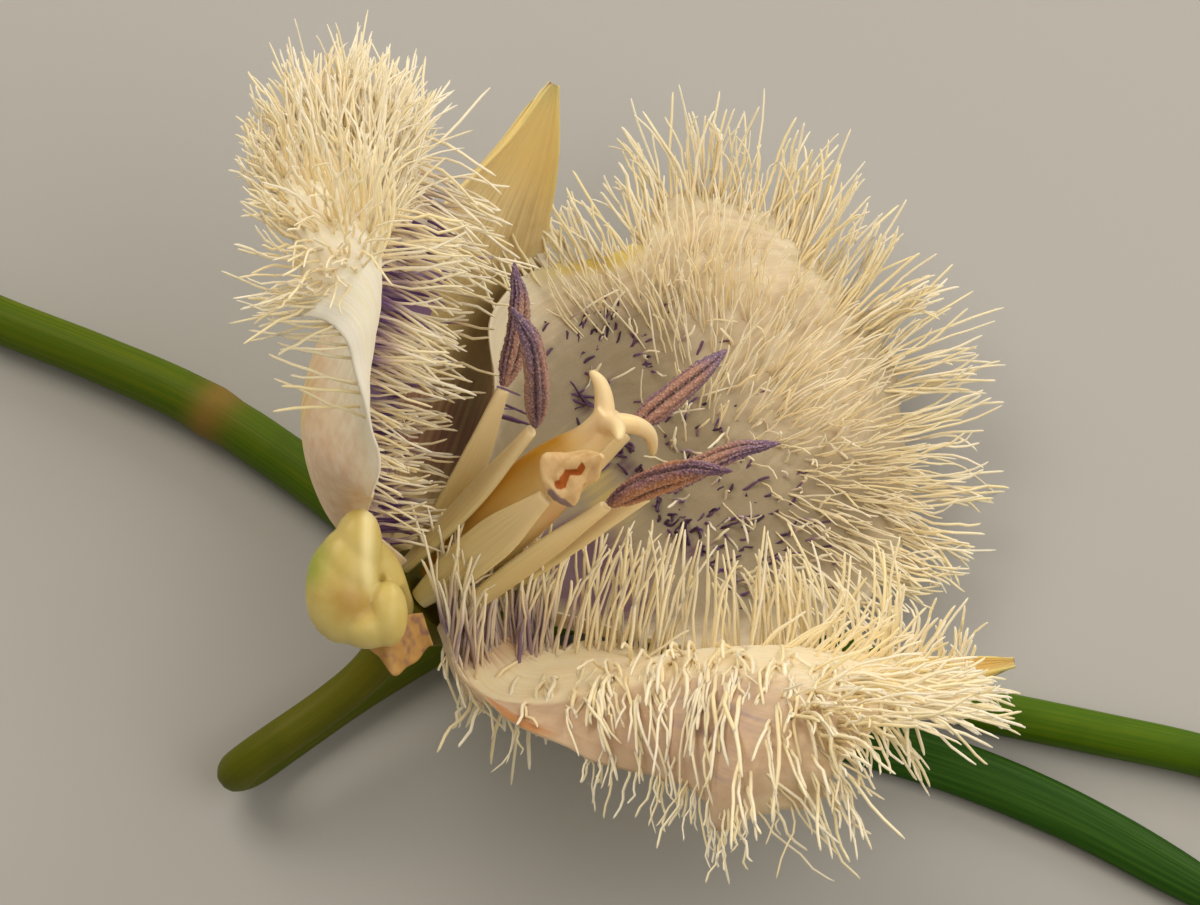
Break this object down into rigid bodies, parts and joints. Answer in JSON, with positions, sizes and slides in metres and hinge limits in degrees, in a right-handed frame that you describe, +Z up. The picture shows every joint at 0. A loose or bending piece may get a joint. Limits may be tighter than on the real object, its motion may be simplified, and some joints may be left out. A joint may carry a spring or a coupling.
{
  "type": "cat's ear flower",
  "caption": "Picked sprig of a small lily with hairy cream petals, yellowish sepals, violet anthers and a bent flower stalk, lying on its green stem, side branch and bract.",
  "frame": {"origin": "middle of the sprig's outline on the bench that it lies on", "axes": "+X along the sprig from the cut end of the stem to the tips of the branch and the bract, +Y across it towards the back petal, +Z up from the bench"},
  "size_m": [0.0458, 0.029, 0.0225],
  "materials": {
    "stem": "satin",
    "pedicel": "satin",
    "bract": "satin",
    "sepal": "satin",
    "petal": "matte",
    "filament": "satin",
    "anther": "matte",
    "withered_anther": "matte",
    "pistil": "satin"
  },
  "bodies": {
    "root": {"stem": "stem", "branch": "stem", "pedicel": "pedicel", "bract": "bract", "sepal_top": "sepal", "sepal_right": "sepal", "sepal_near": "sepal", "petal_back": "petal", "petal_left": "petal", "petal_front": "petal", "filament_1": "filament", "filament_2": "filament", "filament_3": "filament", "filament_4": "filament", "filament_5": "filament", "filament_6": "filament", "anther_1": "anther", "anther_2": "anther", "anther_3": "anther", "anther_4": "anther", "anther_5": "anther", "anther_6": "withered_anther", "pistil": "pistil"}
  },
  "joints": []
}
